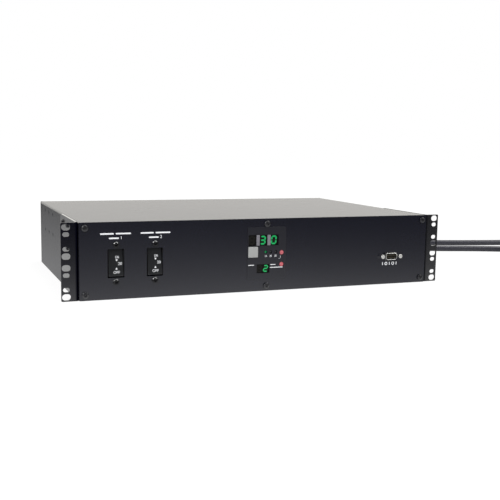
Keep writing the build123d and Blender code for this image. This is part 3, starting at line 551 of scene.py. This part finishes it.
panel_places = [(x, z) for x in (-0.2128, 0, 0.2128) for z in (0.0795, 0.0062)]
ear_rows = [(y, z) for y in (-0.1247, -0.0914, -0.0581) for z in (0.0775, 0.0517)]
ear_places = [(side, y, z) for side in (-1, 1) for y, z in ear_rows]
breaker_places = [(x, z) for x in breakers_x for z in breaker_screws_z]
for name, head_radius, places, outward, finish in (
    ("panel_screws", 0.0036, [(x, front_y, z) for x, z in panel_places], [(0, -1, 0)] * 6, blackened),
    ("rear_screws", 0.0036, [(x, rear_y, z) for x, z in panel_places], [(0, 1, 0)] * 6, blackened),
    (
        "ear_screws",
        0.0033,
        [(side * ear_side_x, y, z) for side, y, z in ear_places],
        [(side, 0, 0) for side, y, z in ear_places],
        blackened,
    ),
    ("breaker_screws", 0.0033, [(x, front_y, z) for x, z in breaker_places], [(0, -1, 0)] * 4, painted_highlight),
):
    screw_set(f"{name}_cross", name, head_radius, places, outward, finish)


# Breakers: moulded cases behind two windows, each with a black rocker on a pin. The rocker's ends are
# marked ON and OFF with arrows, and the current it passes in amperes stands between them. Plain bars and
# a numeral over each breaker stand for its label.
case_moulding = node_finish("breaker_case_moulding", (0.014, 0.014, 0.015), 0.45, 900, 0.00002)
rocker_moulding = node_finish("rocker_moulding", (0.010, 0.0105, 0.012), 0.33, 1100, 0.000012)
white_print = node_finish("white_print", (0.74, 0.75, 0.77), 0.5, 900, 0.000004, play=0.06)
pin_steel = node_finish(
    "ground_pin_steel", (0.55, 0.55, 0.56), 0.25, 600, 0.000004, metallic=1.0, stretch=(1, 6, 6)
)
print_rise = 0.00003
print_seat = print_rise * 0.8
on_panel = Matrix.Translation((0, front_y - print_seat, 0))
rocker_lean = math.radians(7.5)
rocker_face = 0.0088
rocker_marks_x = 0.0004
breaker_pin_depth = 0.010
breaker_z = 0.03995
labels_x = (-0.1793, -0.1345)


def printed_words(words, size, x, z, fit=1.0):
    """Flat lettering as a thin mesh that faces the front: its own x stays and its own y turns up into Z."""
    curve = bpy.data.curves.new("lettering", "FONT")
    curve.body = words
    curve.size = size
    curve.align_x = "CENTER"
    curve.align_y = "CENTER"
    curve.extrude = print_rise
    curve.resolution_u = 4
    shown = bpy.data.objects.new("lettering", curve)
    mesh = bpy.data.meshes.new_from_object(shown)
    bpy.data.objects.remove(shown)
    upright = Matrix.Rotation(math.pi / 2, 4, "X") @ Matrix.Diagonal((fit, 1, 1, 1))
    mesh.transform(Matrix.Translation((x, 0, z)) @ upright)
    return mesh


def printed_shape(outline):
    """A thin prism over an outline of x and z, with one flat face in front and one behind."""
    outline = np.asarray(outline, float)
    count = len(outline)
    front = np.insert(outline, 1, -print_rise, axis=1)
    rear = np.insert(outline, 1, print_rise, axis=1)
    here = np.arange(count)
    after = (here + 1) % count
    sides = np.stack([here, after, after + count, here + count], 1)
    faces = [here[::-1].tolist(), (here + count).tolist()] + sides.tolist()
    mesh = bpy.data.meshes.new("printed_shape")
    mesh.from_pydata(np.vstack([front, rear]).tolist(), [], faces)
    return mesh


def round_bar(x, z, width, height):
    """A bar with half-round ends: a circle of the lesser size, pulled apart along the greater one."""
    angle = np.linspace(0, 2 * np.pi, 25)[:-1] + np.pi / 24
    radius = min(width, height) / 2
    spread_x = np.sign(np.cos(angle)) * (width / 2 - radius)
    spread_z = np.sign(np.sin(angle)) * (height / 2 - radius)
    bar_x = x + spread_x + radius * np.cos(angle)
    bar_z = z + spread_z + radius * np.sin(angle)
    return printed_shape(np.stack([bar_x, bar_z], 1))


def print_piece(name, meshes, material, body, place):
    """Joins thin prints into one piece and lays it on its face with the matrix place."""
    work = bmesh.new()
    for mesh in meshes:
        work.from_mesh(mesh)
        bpy.data.meshes.remove(mesh)
    bmesh.ops.recalc_face_normals(work, faces=work.faces)
    joined = bpy.data.meshes.new(name)
    work.to_mesh(joined)
    work.free()
    joined.transform(place)
    piece = added(name, joined)
    dress(piece, material)
    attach(piece, body)


for number, (x, label_x) in enumerate(zip(breakers_x, labels_x), 1):
    breaker = f"breaker_{number}"
    body = f"rocker_{number}"
    dress(nodes[f"{breaker}_case"], case_moulding)
    dress(nodes[f"{breaker}_pin"], pin_steel)
    softened(f"{breaker}_rocker", "moulded", 0.0004, 3, rocker_moulding, body)
    marks = [
        printed_words("ON", 0.0042, 0.0012, 0.0054, 0.66),
        printed_words("20", 0.0044, 0.0043, -0.0018, 1.05),
        printed_words("OFF", 0.0042, 0.0002, -0.0113),
        printed_shape([(0.0006, 0.0008), (0.0018, 0.0031), (-0.0006, 0.0031)]),
        printed_shape([(-0.0010, -0.0080), (0.0014, -0.0080), (0.0002, -0.0058)]),
    ]
    on_face = (
        Matrix.Translation((x, front_y + breaker_pin_depth, breaker_z))
        @ Matrix.Rotation(-rocker_lean, 4, "X")
        @ Matrix.Translation((rocker_marks_x, -rocker_face - print_seat, 0))
    )
    print_piece(f"{breaker}_rocker_marks", marks, white_print, body, on_face)
    label = [
        round_bar(label_x - 0.0094, 0.0727, 0.0150, 0.0016),
        round_bar(label_x + 0.0086, 0.0727, 0.0170, 0.0016),
        round_bar(label_x - 0.0018, 0.0677, 0.0112, 0.0016),
        printed_words(str(number), 0.0048, label_x + 0.0063, 0.0680),
    ]
    print_piece(f"{breaker}_label", label, white_print, "unit", on_panel)


# Meter: a dark printed film round the digits, with a light grey frame between them. The two right digits,
# the small display and one load light glow green, and both input lamps glow red.
film_finish = node_finish("meter_film", (0.0058, 0.0060, 0.0115), 0.38, 1600, 0.000008)
frame_grey = node_finish("digit_frame_grey", (0.155, 0.15, 0.17), 0.5, 700, 0.00001)
button_grey = node_finish("button_grey", (0.30, 0.305, 0.30), 0.42, 700, 0.00001, play=0.05)
switch_body = node_finish("switch_body", (0.03, 0.03, 0.03), 0.4, 700, 0.00001)
unlit_green = node_finish("unlit_green_lens", (0.03, 0.035, 0.035), 0.25, 500, 0.000002)
dull = {"roughness": 0.5, "grain": 500, "depth": 0.000002, "Specular_IOR_Level": 0.12}
display_face = node_finish("display_face", (0.003, 0.0028, 0.0026), **dull)
unlit_segment = node_finish("unlit_segments", (0.010, 0.0095, 0.008), **dull)
film_rise = 0.0004
display_inset = 0.0006
segment_lean = 0.08
digit_figures = ((-0.01877, ""), (-0.0049, "3"), (0.00897, "0"))
digit_sizes = (0.06025, 0.0073, 0.0105, 0.0019)
small_figures = ((-0.0085, ""), (-0.0009, "2"))
small_sizes = (0.02665, 0.0063, 0.0084, 0.0016)
segments_of = {"": "", "0": "abcdef", "2": "abged", "3": "abgcd"}


def glowing(name, colour, core, roughness=0.35):
    """A finish that glows: stronger at places of high noise, so that the light looks cast in plastic.
    The glow is laid over a dull tinted body of half its colour."""
    plastic = [part * 0.5 for part in colour]
    material = node_finish(name, plastic, roughness, 500, 0.000002, Emission_Strength=1)
    tree = material.node_tree
    place = tree.nodes.new("ShaderNodeTexCoord").outputs["Object"]
    tint = blended(tree, noise_of(tree, place, 900), colour, core)
    tree.links.new(tint, tree.nodes["Principled BSDF"].inputs["Emission Color"])
    return material


def segment_bars(letters, x, z, width, height, stroke):
    """The bars of one seven-segment figure: each is a six-sided bar whose ends are cut at 45 degrees, at its
    own place on the figure's outline, with x shifted by a share of the height above the middle."""
    half_w = (width - stroke) / 2
    half_h = (height - stroke) / 2
    across = stroke / 2
    middles = {
        "a": (0, half_h, False),
        "b": (half_w, half_h / 2, True),
        "c": (half_w, -half_h / 2, True),
        "d": (0, -half_h, False),
        "e": (-half_w, -half_h / 2, True),
        "f": (-half_w, half_h / 2, True),
        "g": (0, 0, False),
    }
    shapes = []
    for letter in letters:
        middle_x, middle_z, standing = middles[letter]
        reach = (half_h / 2 if standing else half_w) - stroke * 0.08
        right = [(reach - across, across), (reach, 0), (reach - across, -across)]
        left = [(-u, -v) for u, v in right]
        bar = np.array([left[1], left[2], right[0], right[1], right[2], left[0]])
        if standing:
            bar = bar[:, ::-1]
        points = bar + (middle_x, middle_z)
        points[:, 0] += segment_lean * points[:, 1]
        shapes.append(printed_shape(points + (x, z)))
    return shapes


green_glow = glowing("green_segments", (0.0, 0.22, 0.055), (0.0, 0.34, 0.09))
red_glow = glowing("red_lamp_glow", (0.26, 0.045, 0.055), (0.50, 0.13, 0.15), 0.16)
lit_green = glowing("lit_green_lens", (0.0, 0.10, 0.03), (0.0, 0.17, 0.05))
softened("meter_overlay", "film", 0.00008, 2, film_finish, "unit")
softened("digit_frame", "moulded", 0.00012, 2, frame_grey, "unit")
lit_bars = []
dark_bars = []
for figures, (z, *sizes) in ((digit_figures, digit_sizes), (small_figures, small_sizes)):
    for x, figure in figures:
        lit = segments_of[figure]
        lit_bars += segment_bars(lit, x, z, *sizes)
        dark_bars += segment_bars([letter for letter in "abcdefg" if letter not in lit], x, z, *sizes)
for node in ("digit_left", "digit_middle", "digit_right", "small_display"):
    dress(nodes[node], display_face)
on_display = Matrix.Translation((0, front_y + display_inset - print_seat, 0))
print_piece("lit_segments", lit_bars, green_glow, "unit", on_display)
print_piece("unlit_segments", dark_bars, unlit_segment, "unit", on_display)
softened("select_button", "moulded", 0.0003, 3, button_grey, "button")
dress(nodes["select_switch"], switch_body)
for number, lens in enumerate((lit_green, unlit_green, unlit_green), 1):
    dress(nodes[f"load_led_{number}"], lens)
for number in (1, 2):
    dress(nodes[f"input_lamp_{number}"], red_glow)
meter_marks = [
    printed_words("10", 0.0036, -0.0013, 0.0413, 0.8),
    printed_words("20", 0.0036, 0.0049, 0.0413, 0.8),
    printed_words("30", 0.0036, 0.0110, 0.0413, 0.8),
    round_bar(-0.0195, 0.0312, 0.0074, 0.0009),
    round_bar(0.0080, 0.0311, 0.0068, 0.0008),
    round_bar(0.0125, 0.0277, 0.0164, 0.0009),
    round_bar(0.0176, 0.0399, 0.0003, 0.0028),
    round_bar(0.0164, 0.0381, 0.0024, 0.0003),
]
on_film = Matrix.Translation((0, front_y - film_rise - print_seat, 0))
print_piece("meter_marks", meter_marks, white_print, "unit", on_film)


# Serial port: a plated shell on a flange behind the panel, held by two hexagonal nuts, with nine gilded
# pins in a black block. The usual sign of bars and rings is printed under it.
sign_z = 0.0258
plated = node_finish("plated_shell", (0.90, 0.89, 0.86), 0.26, 500, 0.000006, metallic=1.0)
gilded = node_finish("gilded_contact", (0.24, 0.20, 0.13), 0.3, 500, 0.000002, metallic=1.0)
softened("port_shell", "plated", 0.00027, 4, plated, "unit")
softened("port_nuts", "plated", 0.0004, 3, plated, "unit")
dress(nodes["port_block"], case_moulding)
dress(nodes["port_pins"], gilded)


def ring_shapes(x, z, outer, inner):
    """A flat ring cut into eight sectors, so that each is a plain outline between two circles."""
    edges = np.linspace(0, 2 * np.pi, 9)
    shapes = []
    for low, high in zip(edges[:-1], edges[1:]):
        angle = np.linspace(low, high, 5)
        rim = np.stack([x + outer * np.cos(angle), z + outer * np.sin(angle)], 1)
        hole = np.stack([x + inner * np.cos(angle), z + inner * np.sin(angle)], 1)[::-1]
        shapes.append(printed_shape(np.vstack([rim, hole])))
    return shapes


sign = [round_bar(x, sign_z, 0.0010, 0.0037) for x in (0.1575, 0.1673, 0.1771)]
for x in (0.1624, 0.1722):
    sign += ring_shapes(x, sign_z, 0.0020, 0.0011)
print_piece("port_sign", sign, white_print, "unit", on_panel)


# Rear: two moulded banks of eight outlets each, whose contacts sit deep in the slots, and a hexagonal nut
# behind each cord's relief.
bank_moulding = node_finish("outlet_moulding", (0.016, 0.016, 0.017), 0.42, 900, 0.00002)
for number in (1, 2):
    softened(f"outlet_bank_{number}", "moulded", 0.0003, 2, bank_moulding, "unit")
dress(nodes["relief_nuts"], moulding)


# Inside the housing: a finned aluminium heat sink with two thyristor modules on its base, the main board
# on its spacers with transformers, sensors and terminals, and the meter board on its standoffs.
extruded = node_finish(
    "extruded_aluminium", (0.62, 0.63, 0.64), 0.38, 250, 0.00002, metallic=1.0, stretch=(6, 0.3, 6)
)
module_shell = node_finish("module_shell", (0.035, 0.035, 0.038), 0.45, 500, 0.00002)
board_green = node_finish("board_mask", (0.012, 0.085, 0.035), 0.3, 220, 0.00001, play=0.3)
core_plates = node_finish(
    "core_plates", (0.22, 0.21, 0.20), 0.4, 200, 0.00003, metallic=0.8, stretch=(1, 12, 1)
)
sensor_core = node_finish("sensor_core", (0.03, 0.03, 0.035), 0.55, 600, 0.00003)
terminal_moulding = node_finish("terminal_moulding", (0.02, 0.02, 0.021), 0.45, 600, 0.00002)
for finish, slot, names in (
    (extruded, "aluminium", ("heat_sink",)),
    (module_shell, "case_plastic", ("thyristor_module_1", "thyristor_module_2")),
    (board_green, "circuit_board", ("main_board", "meter_board")),
    (core_plates, "core_steel", ("control_transformer_1", "control_transformer_2")),
    (sensor_core, "ferrite", ("current_sensor_1", "current_sensor_2")),
    (terminal_moulding, "case_plastic", ("input_terminals", "output_terminals")),
    (pin_steel, "plain_steel", ("board_spacers", "meter_standoffs")),
):
    for node in names:
        dress(nodes[node], finish)
